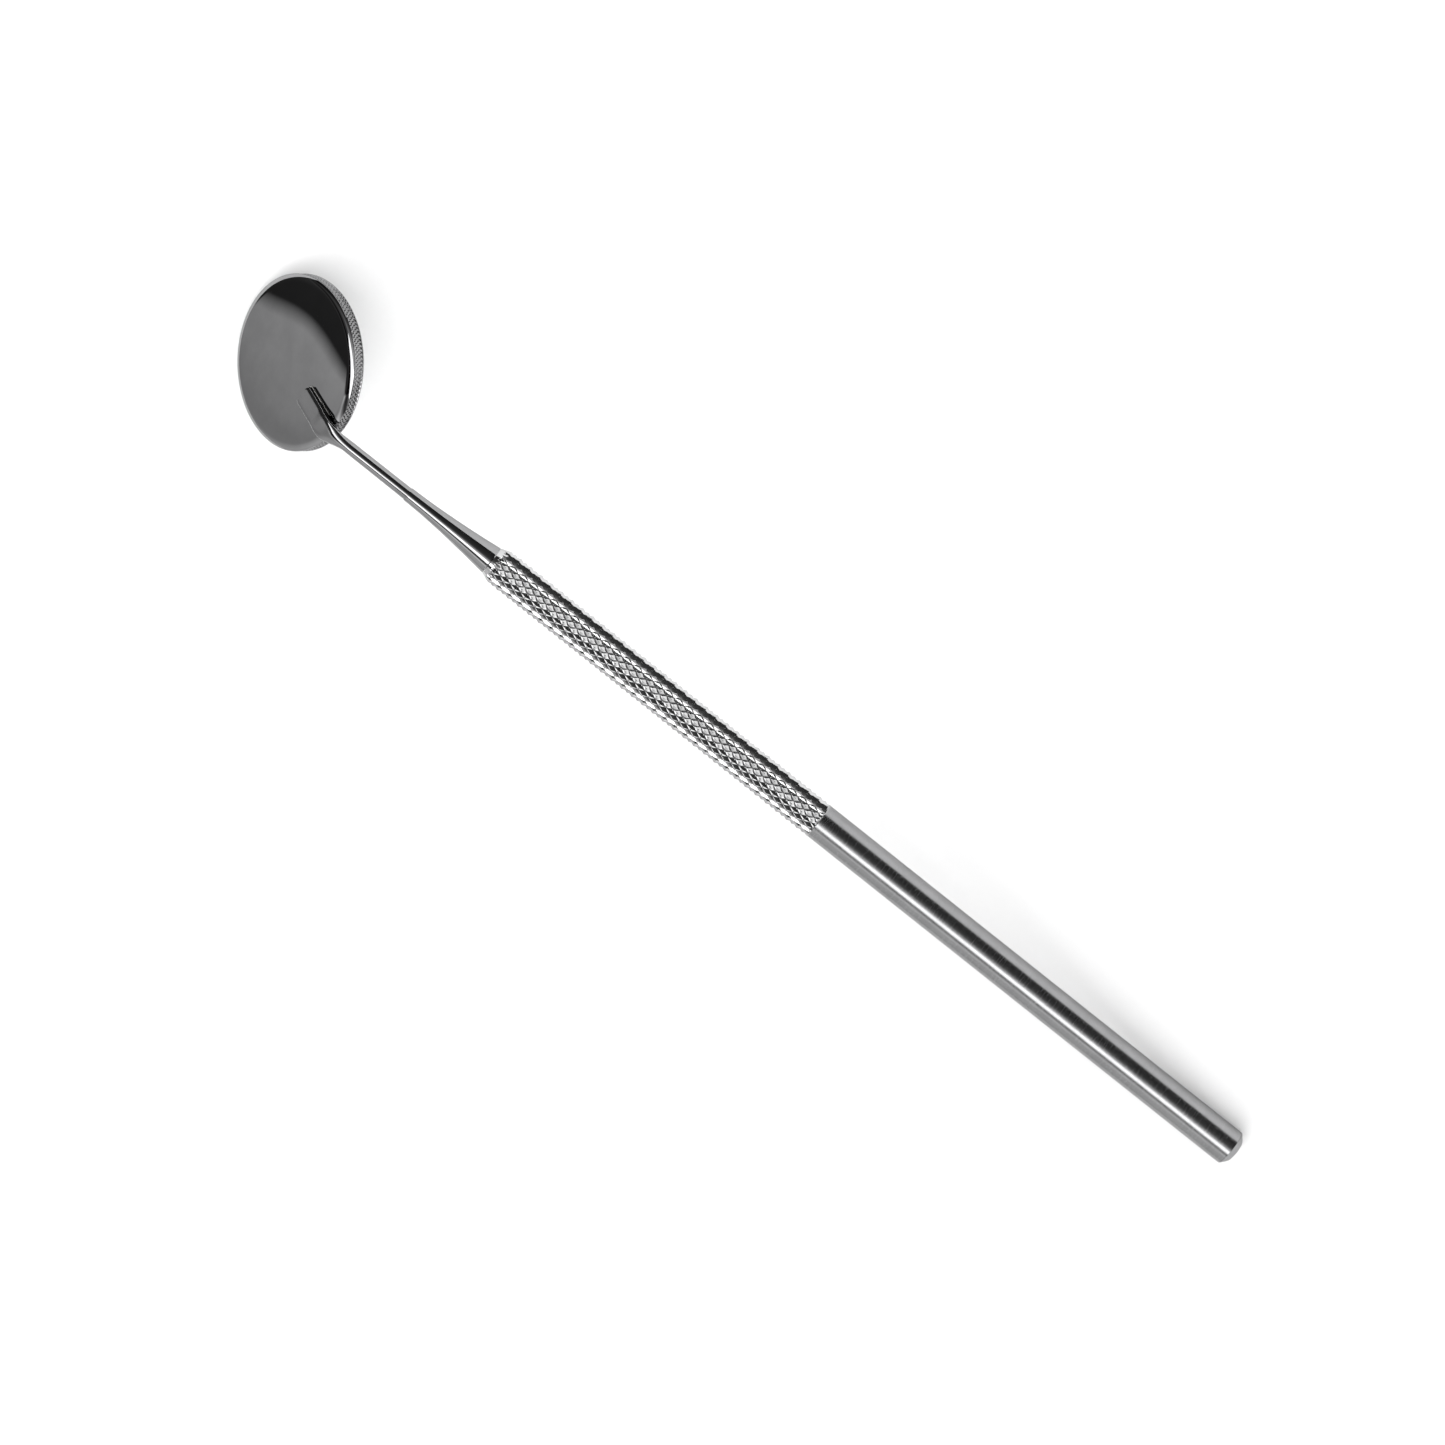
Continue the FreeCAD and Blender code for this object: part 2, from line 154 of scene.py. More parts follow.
# Details finer than the CAD solids, in millimetres.
KNURL_STARTS = 16
KNURL_PITCH = 1.70
KNURL_DEPTH = 0.36
KNURL_RUNOUT = 0.22
THREAD_PITCH = 0.45
THREAD_DEPTH = 0.24
THREAD_RUNOUT = 0.6
RIM_DIAMONDS = 132
RIM_DIAMOND_HEIGHT = 0.62
RIM_DEPTH = 0.17
RIM_FINENESS = 6
LIP_ROUND = 0.25
BACK_CROWN = 0.20
BACK_CROWN_POWER = 3.1
BACK_BEVEL = 0.90
GLASS_GROUND = 0.14
EDGE = 0.06


# ---------------------------------------------------------------- mesh making

def to_row_frame(points, place):
    """Points of a place in millimetres, as points of the row frame in metres."""
    origin, axes = place
    return origin + np.asarray(points, float) * MM @ axes


def make_piece(name, points, faces, place, body, node, material, crease=30):
    """Make a mesh piece that stands for a CAD node, with edges sharper than crease kept sharp."""
    mesh = bpy.data.meshes.new(name)
    mesh.from_pydata(to_row_frame(points, place).tolist(), [], faces)
    outward = bmesh.new()
    outward.from_mesh(mesh)
    bmesh.ops.recalc_face_normals(outward, faces=outward.faces)
    outward.to_mesh(mesh)
    outward.free()
    mesh.polygons.foreach_set("use_smooth", [True] * len(mesh.polygons))
    mesh.set_sharp_from_angle(angle=math.radians(crease))
    mesh.materials.append(material)
    piece = bpy.data.objects.new(name, mesh)
    bpy.context.scene.collection.objects.link(piece)
    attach(piece, body)
    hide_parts(node)
    return piece


def ring_angles(count):
    """Evenly spaced angles of a full turn."""
    return np.arange(count) * ROUND / count


def skin(rings, closed=False, split=None):
    """Join rings of equal point counts, and single points at the ends, into one surface.

    split(row, column) is 1 or -1 where a quad is cut in two one way or the other, and 0 where
    it stays whole.
    """
    points = np.vstack(rings)
    starts = np.cumsum([0] + [len(ring) for ring in rings])
    faces = []
    pairs = [(row, row + 1) for row in range(len(rings) - 1)]
    if closed:
        pairs.append((len(rings) - 1, 0))
    for row, following in pairs:
        count = max(len(rings[row]), len(rings[following]))
        for column in range(count):
            right = (column + 1) % count
            if len(rings[row]) == 1:
                faces.append((starts[row], starts[following] + column, starts[following] + right))
                continue
            if len(rings[following]) == 1:
                faces.append((starts[row] + column, starts[following], starts[row] + right))
                continue
            near, far = starts[row] + column, starts[row] + right
            next_near, next_far = starts[following] + column, starts[following] + right
            cut = split(row, column) if split else 0
            if cut > 0:
                faces += [(near, next_near, next_far), (near, next_far, far)]
            elif cut < 0:
                faces += [(near, next_near, far), (next_near, next_far, far)]
            else:
                faces.append((near, next_near, next_far, far))
    return points, [tuple(int(index) for index in face) for face in faces]


def ring(along, radius, count):
    """One ring of a turned surface; radius is a number or one number for each point."""
    if np.isscalar(radius) and radius <= 0:
        return np.array([[along, 0.0, 0.0]])
    angles = ring_angles(count)
    reach = np.broadcast_to(radius, count)
    return np.stack([np.full(count, along), reach * np.cos(angles), reach * np.sin(angles)], axis=1)


def turned(profile, count):
    """A surface turned about the first axis from (along, radius) points."""
    return skin([ring(along, radius, count) for along, radius in profile])


def eased(corners, steps=4):
    """An outline whose corners (x, y, ease) are rounded off over the length ease; its ends stay."""
    outline = []
    for index, (x, y, ease) in enumerate(corners):
        corner = np.array([x, y], float)
        if ease == 0:
            outline.append(corner)
            continue
        ways = []
        for neighbour in (corners[index - 1], corners[index + 1]):
            way = np.array(neighbour[:2], float) - corner
            ways.append(way / np.linalg.norm(way))
        for step in range(steps + 1):
            part = step / steps
            outline.append(corner + ways[0] * ease * (1 - part) ** 2 + ways[1] * ease * part ** 2)
    return [tuple(point) for point in outline]


def arc(start, end, sag, steps=8):
    """Points after start up to end on a shallow curve that bulges by sag to its left side."""
    start, end = np.array(start, float), np.array(end, float)
    chord = end - start
    side = np.array([-chord[1], chord[0]]) / np.linalg.norm(chord)
    parts = np.arange(1, steps + 1) / steps
    return [tuple(start + chord * part + side * sag * 4 * part * (1 - part)) for part in parts]


def zigzag(phase):
    """A wave of period 1 that is 0 at whole numbers and 1 half way between them."""
    return 1 - np.abs(2 * (phase - np.floor(phase)) - 1)


# ---------------------------------------------------------------- materials

def new_material(name):
    """A material with a Principled shader; returns it, its links and the shader."""
    material = bpy.data.materials.new(name)
    material.use_nodes = True
    tree = material.node_tree
    return material, tree.links, tree.nodes["Principled BSDF"]


def place_coordinates(material, place, stretch):
    """Object coordinates turned into a place, in units of 1/stretch millimetres on each axis."""
    nodes, links = material.node_tree.nodes, material.node_tree.links
    origin, axes = place
    coordinates = nodes.new("ShaderNodeTexCoord")
    shift = nodes.new("ShaderNodeVectorMath")
    shift.operation = "SUBTRACT"
    shift.inputs[1].default_value = [float(part) for part in origin]
    links.new(coordinates.outputs["Object"], shift.inputs[0])
    turn = nodes.new("ShaderNodeMapping")
    turn.inputs["Rotation"].default_value = Matrix(axes.tolist()).to_euler("XYZ")
    links.new(shift.outputs[0], turn.inputs["Vector"])
    scale = nodes.new("ShaderNodeVectorMath")
    scale.operation = "MULTIPLY"
    scale.inputs[1].default_value = [part / MM for part in stretch]
    links.new(turn.outputs["Vector"], scale.inputs[0])
    return scale.outputs[0]


def noise(material, vector, scale, detail=3.0, roughness=0.55):
    """Noise over a vector."""
    nodes, links = material.node_tree.nodes, material.node_tree.links
    texture = nodes.new("ShaderNodeTexNoise")
    texture.inputs["Scale"].default_value = scale
    texture.inputs["Detail"].default_value = detail
    texture.inputs["Roughness"].default_value = roughness
    links.new(vector, texture.inputs["Vector"])
    return texture.outputs["Fac"]


def spread(material, value, low, high, from_low=0.3, from_high=0.7):
    """A value's range mapped to low..high."""
    nodes, links = material.node_tree.nodes, material.node_tree.links
    mapped = nodes.new("ShaderNodeMapRange")
    mapped.inputs["From Min"].default_value = from_low
    mapped.inputs["From Max"].default_value = from_high
    mapped.inputs["To Min"].default_value = low
    mapped.inputs["To Max"].default_value = high
    links.new(value, mapped.inputs["Value"])
    return mapped.outputs["Result"]


def mix_colours(material, factor, first, second):
    """A colour between two colours."""
    nodes, links = material.node_tree.nodes, material.node_tree.links
    ramp = nodes.new("ShaderNodeValToRGB")
    ramp.color_ramp.elements[0].color = (*first, 1)
    ramp.color_ramp.elements[1].color = (*second, 1)
    links.new(factor, ramp.inputs["Fac"])
    return ramp.outputs["Color"]


def bumps(material, layers):
    """Stack bump nodes; a layer is (height, strength, distance in millimetres)."""
    nodes, links = material.node_tree.nodes, material.node_tree.links
    normal = None
    for height, strength, distance in layers:
        bump = nodes.new("ShaderNodeBump")
        bump.inputs["Strength"].default_value = strength
        bump.inputs["Distance"].default_value = distance * MM
        links.new(height, bump.inputs["Height"])
        if normal is not None:
            links.new(normal, bump.inputs["Normal"])
        normal = bump.outputs["Normal"]
    return normal


# Reflectances: of the polished steel, the share that it keeps at grazing angles, and the grip's, which
# is painted brighter than the steel as painted light for the light its knurled facets lack.
POLISHED = (0.35, 0.35, 0.355)
EDGE_TINT = (0.6, 0.6, 0.6, 1)
# Painted light: the grip's base colour, painted brighter than the polished steel it is made of.
GRIP_PAINTED_LIGHT = (0.62, 0.62, 0.625, 1)
GRIP_ROUGHNESS = 0.10


def steel(name, place, gloss, turning, grain):
    """Stainless steel; gloss is the range of its roughness.

    turning is the strength of the fine lines left by turning and polishing about the place's
    first axis, and grain that of the faint unevenness over the whole surface.
    """
    material, links, shader = new_material(name)
    even = place_coordinates(material, place, (1, 1, 1))
    lines = place_coordinates(material, place, (14, 0.35, 0.35))
    wiped = noise(material, even, 0.35, 4.0)
    fine = noise(material, lines, 1.0, 4.0, 0.7)
    speck = noise(material, even, 9.0, 2.0)
    shader.inputs["Metallic"].default_value = 1.0
    shader.inputs["Specular Tint"].default_value = EDGE_TINT
    dark = tuple(part * 0.90 for part in POLISHED)
    links.new(mix_colours(material, spread(material, wiped, 0, 1), dark, POLISHED),
              shader.inputs["Base Color"])
    links.new(spread(material, fine, *gloss), shader.inputs["Roughness"])
    links.new(bumps(material, [(fine, turning, 0.004), (speck, grain, 0.006)]),
              shader.inputs["Normal"])
    return material


def paint_grip_lighter(material):
    """Paint a steel brighter where the handle is knurled, as painted light for the light its facets
    lack, and make it glossier there.
    """
    nodes, links = material.node_tree.nodes, material.node_tree.links
    shader = nodes["Principled BSDF"]
    parts = nodes.new("ShaderNodeSeparateXYZ")
    links.new(place_coordinates(material, HANDLE, (1, 1, 1)), parts.inputs[0])
    knurled = spread(material, parts.outputs["X"], 0, 1, KNURL_START - 0.1, KNURL_START + 0.2)
    # The grip's base colour is painted brighter here as painted light; its roughness is lowered too.
    for socket, kind, grip_light_and_gloss in (("Base Color", "RGBA", GRIP_PAINTED_LIGHT),
                                    ("Roughness", "FLOAT", GRIP_ROUGHNESS)):
        plain = shader.inputs[socket].links[0].from_socket
        mix = nodes.new("ShaderNodeMix")
        mix.data_type = kind
        mix.inputs["B"].default_value = grip_light_and_gloss
        links.new(knurled, mix.inputs["Factor"])
        links.new(plain, mix.inputs["A"])
        links.new(mix.outputs["Result"], shader.inputs[socket])


def braze_metal():
    """Silver braze: a little warmer than the steel, mottled, with dark flux specks."""
    material, links, shader = new_material("braze")
    even = place_coordinates(material, HEAD, (1, 1, 1))
    mottle = noise(material, even, 2.5, 4.0)
    speck = noise(material, even, 7.0, 3.0)
    shader.inputs["Metallic"].default_value = 1.0
    links.new(mix_colours(material, spread(material, speck, 0, 1, 0.33, 0.45),
                          (0.16, 0.155, 0.145), (0.36, 0.355, 0.345)), shader.inputs["Base Color"])
    links.new(spread(material, mottle, 0.12, 0.26), shader.inputs["Roughness"])
    links.new(bumps(material, [(mottle, 0.4, 0.01), (speck, 0.3, 0.01)]), shader.inputs["Normal"])
    return material


def mirror_surface():
    """Front-coated mirror glass with the faintest wipe marks."""
    material, links, shader = new_material("mirror_face")
    wiping = noise(material, place_coordinates(material, HEAD, (1, 0.25, 1.2)), 0.5, 5.0)
    specks = noise(material, place_coordinates(material, HEAD, (1, 1, 1)), 6.0, 2.0)
    shader.inputs["Metallic"].default_value = 1.0
    links.new(mix_colours(material, spread(material, wiping, 0, 1),
                          (0.86, 0.87, 0.87), (0.91, 0.92, 0.92)), shader.inputs["Base Color"])
    links.new(spread(material, specks, 0.012, 0.045, 0.45, 0.75), shader.inputs["Roughness"])
    return material


def backing_card():
    """Grey fibrous packing disc behind the glass."""
    material, links, shader = new_material("backing_card")
    fibres = noise(material, place_coordinates(material, HEAD, (1, 6, 1.5)), 1.0, 5.0)
    links.new(mix_colours(material, fibres, (0.25, 0.25, 0.24), (0.42, 0.42, 0.40)),
              shader.inputs["Base Color"])
    links.new(spread(material, fibres, 0.75, 0.95), shader.inputs["Roughness"])
    links.new(bumps(material, [(fibres, 0.4, 0.03)]), shader.inputs["Normal"])
    return material


def seal_compound():
    """Smooth grey cured sealing compound."""
    material, links, shader = new_material("seal_compound")
    flow = noise(material, place_coordinates(material, HEAD, (1, 1, 1)), 1.6, 3.0)
    links.new(mix_colours(material, flow, (0.17, 0.17, 0.17), (0.27, 0.27, 0.26)),
              shader.inputs["Base Color"])
    links.new(spread(material, flow, 0.3, 0.5), shader.inputs["Roughness"])
    links.new(bumps(material, [(flow, 0.3, 0.03)]), shader.inputs["Normal"])
    return material


def table_top():
    """Nearly white matt table."""
    material, links, shader = new_material("table_top")
    even = place_coordinates(material, (np.zeros(3), np.eye(3)), (1, 1, 1))
    tooth = noise(material, even, 1.2, 4.0)
    links.new(mix_colours(material, tooth, (0.86, 0.86, 0.86), (0.88, 0.88, 0.88)),
              shader.inputs["Base Color"])
    shader.inputs["Roughness"].default_value = 0.9
    shader.inputs["Specular IOR Level"].default_value = 0.1
    return material


handle_steel = steel("handle_steel", HANDLE, gloss=(0.19, 0.29), turning=0.30, grain=0.10)
paint_grip_lighter(handle_steel)
stem_steel = steel("stem_steel", HANDLE, gloss=(0.06, 0.11), turning=0.12, grain=0.06)
thread_steel = steel("thread_steel", HANDLE, gloss=(0.20, 0.32), turning=0.5, grain=0.15)
back_steel = steel("back_steel", HEAD, gloss=(0.012, 0.025), turning=0.03, grain=0.03)
bezel_steel = steel("bezel_steel", HEAD, gloss=(0.14, 0.26), turning=0.25, grain=0.30)


# ---------------------------------------------------------------- handle pieces

# Mesh steps from a groove of the knurl to the next ridge.
KNURL_FINENESS = 6
HANDLE_COLUMNS = 2 * KNURL_STARTS * KNURL_FINENESS
KNURL_STEP = KNURL_PITCH / (2 * KNURL_FINENESS)


def knurl_heights(row):
    """Height of the diamond pattern, 0 to 1, round one ring of the grip."""
    columns = np.arange(HANDLE_COLUMNS)
    one_hand = (columns + row) / (2 * KNURL_FINENESS)
    other_hand = (columns - row) / (2 * KNURL_FINENESS)
    return np.minimum(zigzag(one_hand), zigzag(other_hand))


def knurl_ring(row):
    """Ring of the grip: the pattern, faded in at its start and cut by the front chamfer."""
    along = KNURL_START + row * KNURL_STEP
    root = KNURL_RADIUS - KNURL_DEPTH
    worked = root + KNURL_DEPTH * knurl_heights(row)
    fade = min(1.0, (along - KNURL_START) / KNURL_RUNOUT)
    radius = SHANK_RADIUS + (worked - SHANK_RADIUS) * fade
    slope = (KNURL_RADIUS - FRONT_FACE_RADIUS) / (HANDLE_LENGTH - CHAMFER_START)
    chamfer = KNURL_RADIUS - slope * (along - CHAMFER_START)
    return ring(along, np.minimum(radius, chamfer), HANDLE_COLUMNS)


def make_handle():
    """The drawn tube with its plain shank, knurled grip and chamfered front end."""
    shank_rows = [(FLANGE, SHANK_RADIUS - 0.02), (FLANGE + 0.02, SHANK_RADIUS)]
    shank_rows += [(along, SHANK_RADIUS) for along in np.linspace(FLANGE + 1, KNURL_START - 1, 24)]
    rings = [ring(along, radius, HANDLE_COLUMNS) for along, radius in shank_rows]
    first_knurl = len(rings)
    rows = int((HANDLE_LENGTH - EDGE - KNURL_START) / KNURL_STEP)
    rings += [knurl_ring(row) for row in range(rows + 1)]
    last_knurl = len(rings) - 1
    rings.append(ring(HANDLE_LENGTH - EDGE / 3, FRONT_FACE_RADIUS - EDGE / 4, HANDLE_COLUMNS))
    rings.append(ring(HANDLE_LENGTH, FRONT_FACE_RADIUS - EDGE, HANDLE_COLUMNS))
    rings.append(ring(HANDLE_LENGTH, BORE_RADIUS, HANDLE_COLUMNS))
    rings.append(ring(FLANGE, BORE_RADIUS, HANDLE_COLUMNS))

    def split(ring_row, column):
        """Cut the quads of the knurl along its grooves and ridges."""
        if not first_knurl <= ring_row < last_knurl:
            return 0
        return 1 if (column - (ring_row - first_knurl)) % KNURL_FINENESS == 0 else -1

    points, faces = skin(rings, closed=True, split=split)
    make_piece("handle", points, faces, HANDLE, "handle", "handle_tube",
               handle_steel, crease=11)


def make_butt_plug():
    """The bevelled and crowned button that closes the tube's back end."""
    crown_radius = 0.61 * SHANK_RADIUS
    crown_height = 0.28
    bevel = arc((crown_height, crown_radius), (FLANGE - 0.02, SHANK_RADIUS - 0.01), 0.03, 12)
    crown = arc((0, 0), (crown_height, crown_radius), 0.01, 8)
    spigot_end = local_points("end_plug", HANDLE)[:, 0].max()
    outline = [(0, 0)] + crown + bevel
    outline += [(FLANGE, SHANK_RADIUS - 0.03), (FLANGE, BORE_RADIUS - 0.01),
                (spigot_end - 0.3, BORE_RADIUS - 0.01), (spigot_end, BORE_RADIUS - 0.3),
                (spigot_end, 0)]
    points, faces = turned(outline, 128)
    make_piece("butt_plug", points, faces, HANDLE, "handle", "end_plug",
               handle_steel)


def make_stub():
    """The stud on the stem, with its right-hand thread, plain neck and tenon."""
    columns = 48
    rows_per_pitch = 10
    step = THREAD_PITCH / rows_per_pitch
    thread_end = HANDLE_LENGTH - THREAD_RUNOUT
    minor = STUB_RADIUS - THREAD_DEPTH
    turns = ring_angles(columns) / ROUND
    rings = [ring(STUB_TIP, 0, columns), ring(STUB_TIP, minor - 0.08, columns)]
    for row in range(1, int((thread_end - STUB_TIP) / step)):
        along = STUB_TIP + row * step
        ridge = np.clip(1.6 * zigzag(along / THREAD_PITCH - turns) - 0.25, 0, 1)
        worked = minor + THREAD_DEPTH * ridge
        chamfer = minor - 0.08 + (along - STUB_TIP)
        rings.append(ring(along, np.minimum(worked, chamfer), columns))
    rings += [ring(thread_end, STUB_NECK_RADIUS, columns), ring(STUB_END, STUB_NECK_RADIUS, columns),
              ring(STUB_END, 0, columns)]
    points, faces = skin(rings)
    make_piece("screw_stud", points, faces, HANDLE, "screw_stub", "threaded_stub",
               thread_steel)


# ---------------------------------------------------------------- stem

BEND_RADIUS = 7.0
WIRE_RADIUS = 0.82
COLLAR_LENGTH = 0.25
FLARE_LENGTH = 13.4
FLARE_END_RADIUS = 0.96
FLARE_POWER = 1.65
SHOULDER = 0.09
STEM_COLUMNS = 72
# Height of the wire's middle line over the head's back where it runs out into the foot.
BEND_HEIGHT = 0.45
# The foot sits to one side of the wire and reaches a little past the CAD foot.
FOOT_OFFSET = 0.68
FOOT_CORNER = 0.38
TOE = FOOT_TIP + 0.45
# Where the wire widens, thins and squares into the foot: from and to, measured from the bend.
WIDENING = (-2.8, 1.3)
THINNING = (-3.6, 2.2)
SQUARING = (-0.6, 2.4)


def section(centre, tilt, half_width, half_height, squareness, offset=0.0):
    """Ring across the stem: a rounded section about a point (along, up), leaning by tilt."""
    angles = ring_angles(STEM_COLUMNS)
    power = 2 / squareness
    wide = half_width * np.sign(np.cos(angles)) * np.abs(np.cos(angles)) ** power
    high = half_height * np.sign(np.sin(angles)) * np.abs(np.sin(angles)) ** power
    along = centre[0] + high * math.sin(tilt)
    up = centre[1] + high * math.cos(tilt)
    return np.stack([along, offset + wide, up], axis=1)


def head_point_in_handle(height, ahead):
    """A point of the head's middle plane, as (along, up) in the handle's place."""
    row = to_row_frame([[height, ahead, 0]], HEAD)[0]
    local = HANDLE[1] @ (row - HANDLE[0]) / MM
    return np.array([local[0], local[2]])


def bend_corner():
    """Where the handle's axis meets the line at the bend's height over the head's back."""
    start = head_point_in_handle(BEND_HEIGHT, 0)
    way = head_point_in_handle(BEND_HEIGHT, 1) - start
    return start[0] - way[0] * start[1] / way[1]


BEND_CORNER = bend_corner()


def smooth_part(value, low, high):
    """0 below low, 1 above high, and a smooth rise between."""
    part = min(1.0, max(0.0, (value - low) / (high - low)))
    return part * part * (3 - 2 * part)


def back_height(radius):
    """Height of the crowned back at a distance from its middle."""
    return -BACK_CROWN * (radius / (HEAD_RADIUS - BACK_BEVEL)) ** BACK_CROWN_POWER


def stem_shape(along):
    """How far the wire has turned into the foot: half width, offset, thinning and squareness."""
    widening, thinning, squaring = (smooth_part(along, BEND_CORNER + first, BEND_CORNER + last)
                                    for first, last in (WIDENING, THINNING, SQUARING))
    half_width = WIRE_RADIUS + (FOOT_HALF_WIDTH - WIRE_RADIUS) * widening
    return half_width, FOOT_OFFSET * widening, thinning, 2 + 5 * squaring


def shaft_sections(bend_start):
    """Sections of the straight part: collar, flare, shoulder and wire."""
    collar_end = STEM_BACK + COLLAR_LENGTH
    flare_end = collar_end + FLARE_LENGTH
    sections = [(STEM_BACK + EDGE / 3, STEM_BASE_RADIUS - EDGE / 3),
                (STEM_BACK + EDGE, STEM_BASE_RADIUS),
                (collar_end, STEM_BASE_RADIUS)]
    for part in np.linspace(0, 1, 42)[1:]:
        drop = (STEM_BASE_RADIUS - FLARE_END_RADIUS) * (1 - part) ** FLARE_POWER
        sections.append((collar_end + FLARE_LENGTH * part, FLARE_END_RADIUS + drop))
    sections.append((flare_end + 0.15, FLARE_END_RADIUS - SHOULDER))
    thinning_start = BEND_CORNER + THINNING[0]
    sections.append((thinning_start - 0.2, WIRE_RADIUS))
    rings = [section((along, 0), 0, radius, radius, 2) for along, radius in sections]
    for along in np.linspace(thinning_start, bend_start, 8)[:-1]:
        rings.append(stem_section((along, 0), 0))
    return rings


def stem_section(centre, tilt):
    """Section of the bent stem about a point of its middle line."""
    half_width, offset, thinning, squareness = stem_shape(centre[0])
    half_height = WIRE_RADIUS + (FOOT_THICKNESS / 2 - WIRE_RADIUS) * thinning
    return section(centre, tilt, half_width, half_height, squareness, offset)


def bend_sections(bend_start):
    """Sections round the bend."""
    rings = []
    for part in np.linspace(0, 1, 21):
        turn = HEAD_TILT * part
        centre = (bend_start + BEND_RADIUS * math.sin(turn), -BEND_RADIUS * (1 - math.cos(turn)))
        rings.append(stem_section(centre, turn))
    return rings


def foot_sections(bend_end_ahead):
    """Sections from the end of the bend over the flat foot to its rounded tip."""
    places = list(np.linspace(bend_end_ahead, TOE - FOOT_CORNER, 22)[1:])
    places += [TOE - FOOT_CORNER * (1 - math.sin(turn)) for turn in np.linspace(0.2, 1.5, 8)]
    rings = []
    for ahead in places:
        along = head_point_in_handle(BEND_HEIGHT, ahead)[0]
        wide, offset, thinning, squareness = stem_shape(along)
        over_corner = max(0.0, ahead - (TOE - FOOT_CORNER))
        wide -= FOOT_CORNER - math.sqrt(max(0.0, FOOT_CORNER ** 2 - over_corner ** 2))
        settled = smooth_part(ahead, bend_end_ahead, bend_end_ahead + 1.5)
        top = BEND_HEIGHT + WIRE_RADIUS + (FOOT_THICKNESS / 2 - WIRE_RADIUS) * thinning
        top += (FOOT_THICKNESS - top) * settled
        bottom = BEND_HEIGHT * 2 - top
        bottom += (back_height(abs(ahead)) - 0.02 - bottom) * settled
        centre = head_point_in_handle((top + bottom) / 2, ahead)
        rings.append(section(centre, HEAD_TILT, wide, (top - bottom) / 2, squareness, offset))
    return rings


def make_stem():
    """The stem in one piece, from the bored base that takes the stud to the foot's tip."""
    tangent = BEND_RADIUS * math.tan(HEAD_TILT / 2)
    bend_start = BEND_CORNER - tangent
    way = np.array([math.cos(HEAD_TILT), -math.sin(HEAD_TILT)])
    bend_end = np.array([BEND_CORNER, 0.0]) + tangent * way
    bend_end_ahead = float((bend_end - head_point_in_handle(0, 0)) @ way)
    bore_end = STUB_END + 2 * (STEM_BORE_RADIUS - STUB_NECK_RADIUS)
    rings = [np.array([[bore_end, 0.0, 0.0]]),
             section((bore_end, 0), 0, STEM_BORE_RADIUS, STEM_BORE_RADIUS, 2),
             section((STEM_BACK, 0), 0, STEM_BORE_RADIUS, STEM_BORE_RADIUS, 2),
             section((STEM_BACK, 0), 0, STEM_BASE_RADIUS - EDGE, STEM_BASE_RADIUS - EDGE, 2)]
    rings += shaft_sections(bend_start)
    rings += bend_sections(bend_start)
    rings += foot_sections(bend_end_ahead)
    rings.append(rings[-1].mean(axis=0, keepdims=True))
    points, faces = skin(rings)
    make_piece("stem", points, faces, HANDLE, "mirror_head", "mirror_stem",
               stem_steel, crease=35)


BRAZE_WIDTH = 0.20
BRAZE_HEIGHT = 0.22
BRAZE_START = -9.9
BRAZE_PIT_PLACE = 0.86


def braze_path():
    """Points round the foot's edge from one side of its root to the other, with outward ways."""
    corner_ahead = TOE - FOOT_CORNER
    corner_across = FOOT_HALF_WIDTH - FOOT_CORNER
    path = []
    for ahead in np.linspace(BRAZE_START, corner_ahead, 40)[:-1]:
        along = head_point_in_handle(BEND_HEIGHT, ahead)[0]
        path.append((ahead, stem_shape(along)[0], 0.0, 1.0))
    for turn in np.linspace(0, math.pi / 2, 9):
        path.append((corner_ahead + FOOT_CORNER * math.sin(turn),
                     corner_across + FOOT_CORNER * math.cos(turn), math.sin(turn), math.cos(turn)))
    for part in np.linspace(0, 0.5, 8)[1:]:
        path.append((TOE, corner_across * (1 - 2 * part), 1.0, 0.0))
    mirrored = [(ahead, -across, out_ahead, -out_across)
                for ahead, across, out_ahead, out_across in reversed(path[:-1])]
    return [(ahead, across + FOOT_OFFSET, out_ahead, out_across)
            for ahead, across, out_ahead, out_across in path + mirrored]


def make_braze():
    """The fillet of braze metal round the foot, uneven and with one small pit at its side."""
    path = braze_path()
    pit = int(len(path) * BRAZE_PIT_PLACE)
    wave = np.convolve(SPREAD.normal(0, 1, len(path) + 8), np.ones(9) / 9, "valid")
    rings = []
    for index, (ahead, across, out_ahead, out_across) in enumerate(path):
        ends = smooth_part(min(index, len(path) - 1 - index), 0, 10)
        size = (0.35 + 0.65 * ends) * (1 + 0.5 * wave[index])
        hollow = 0.75 * math.exp(-((index - pit) / 1.2) ** 2)
        width = BRAZE_WIDTH * size
        height = BRAZE_HEIGHT * size * (1 - 0.5 * hollow)
        ring_points = [(0.0, -0.08), (0.0, width)]
        for turn in np.linspace(0, math.pi / 2, 8)[1:-1]:
            dip = hollow * 0.12 * math.sin(2 * turn)
            ring_points.append((height * (1 - math.cos(turn)) - dip, width * (1 - math.sin(turn))))
        ring_points += [(height, 0.0), (height, -0.08)]
        ground = back_height(math.hypot(ahead, across))
        lifted = [(max(up, 0.0) + (ground if up < height else 0.0), out) for up, out in ring_points]
        rings.append(np.array([(up, ahead + out * out_ahead, across + out * out_across)
                               for up, out in lifted]))
    rings = [rings[0].mean(axis=0, keepdims=True)] + rings + [rings[-1].mean(axis=0, keepdims=True)]
    points, faces = skin(rings)
    make_piece("braze_fillet", points, faces, HEAD, "mirror_head", "foot_braze",
               braze_metal())


# ---------------------------------------------------------------- head pieces

